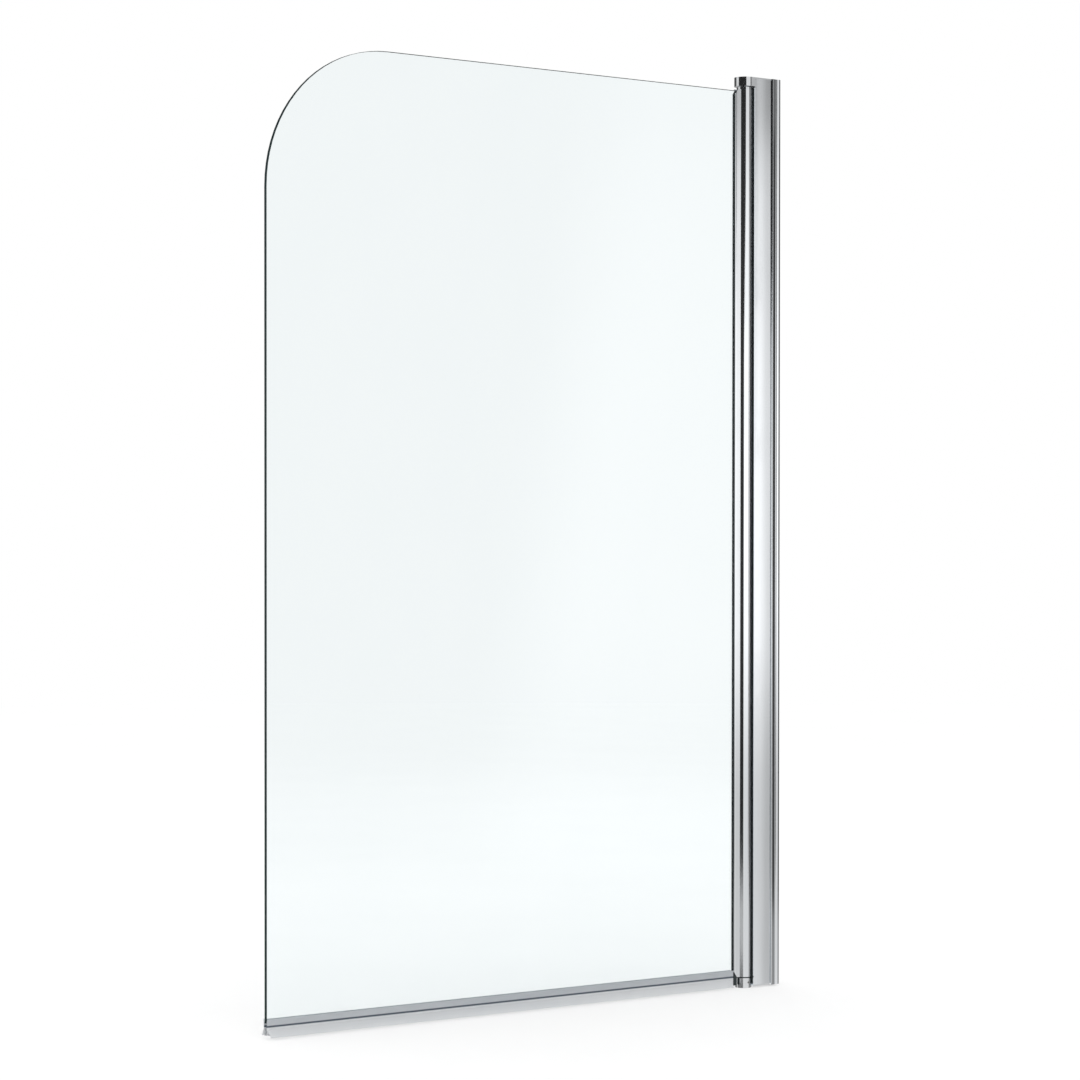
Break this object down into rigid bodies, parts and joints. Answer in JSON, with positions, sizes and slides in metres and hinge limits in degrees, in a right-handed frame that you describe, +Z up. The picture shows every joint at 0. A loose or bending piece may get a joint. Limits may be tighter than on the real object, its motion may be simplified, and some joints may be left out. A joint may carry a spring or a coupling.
{
  "type": "bath screen",
  "caption": "Clear glass bath screen with a rounded outer top corner, swinging on a round hinge column beside a polished upright set in a wall channel, with a finned bottom seal.",
  "frame": {"origin": "on the wall face of the wall channel, at its bottom end, half way across its width", "axes": "+X into the wall, so the screen reaches towards -X; +Z up; Y across the glass, with -Y the front"},
  "size_m": [0.9307, 0.0389, 1.402],
  "materials": {
    "aluminium_polished": "mirror-polished, anodised",
    "chrome_cast": "mirror-plated casting",
    "stainless": "machined stainless",
    "clear_glass": "clear toughened, polished edges",
    "clear_seal": "translucent soft extrusion",
    "black_rubber": "matt black",
    "white_plastic": "white bearing plastic"
  },
  "bodies": {
    "wall_side": {"wall_channel": "aluminium_polished", "adjusting_profile": "aluminium_polished", "channel_lock_screws": "stainless", "top_cap": "chrome_cast", "top_cap_screws": "stainless", "top_pivot_pin": "stainless", "bottom_cap": "chrome_cast", "bottom_cap_screws": "stainless", "bottom_pivot_pin": "stainless", "pivot_grub_screw": "stainless", "thrust_washer": "black_rubber", "column_wiper_seals": "black_rubber"},
    "glass_side": {"hinge_tube": "aluminium_polished", "top_end_plug": "chrome_cast", "bottom_end_plug": "chrome_cast", "top_pivot_sleeve": "white_plastic", "bottom_pivot_sleeve": "white_plastic", "front_glazing_strip": "black_rubber", "rear_glazing_strip": "black_rubber", "glass_edge_pads": "black_rubber", "glass_support_block": "black_rubber", "glass_panel": "clear_glass", "bottom_seal": "clear_seal"}
  },
  "joints": [
    {"name": "panel_swing", "type": "hinge", "parent": "wall_side", "child": "glass_side", "pos_m": [-0.0592, 0, 0], "axis": [0, 0, 1], "range_deg": [-90, 90]}
  ]
}
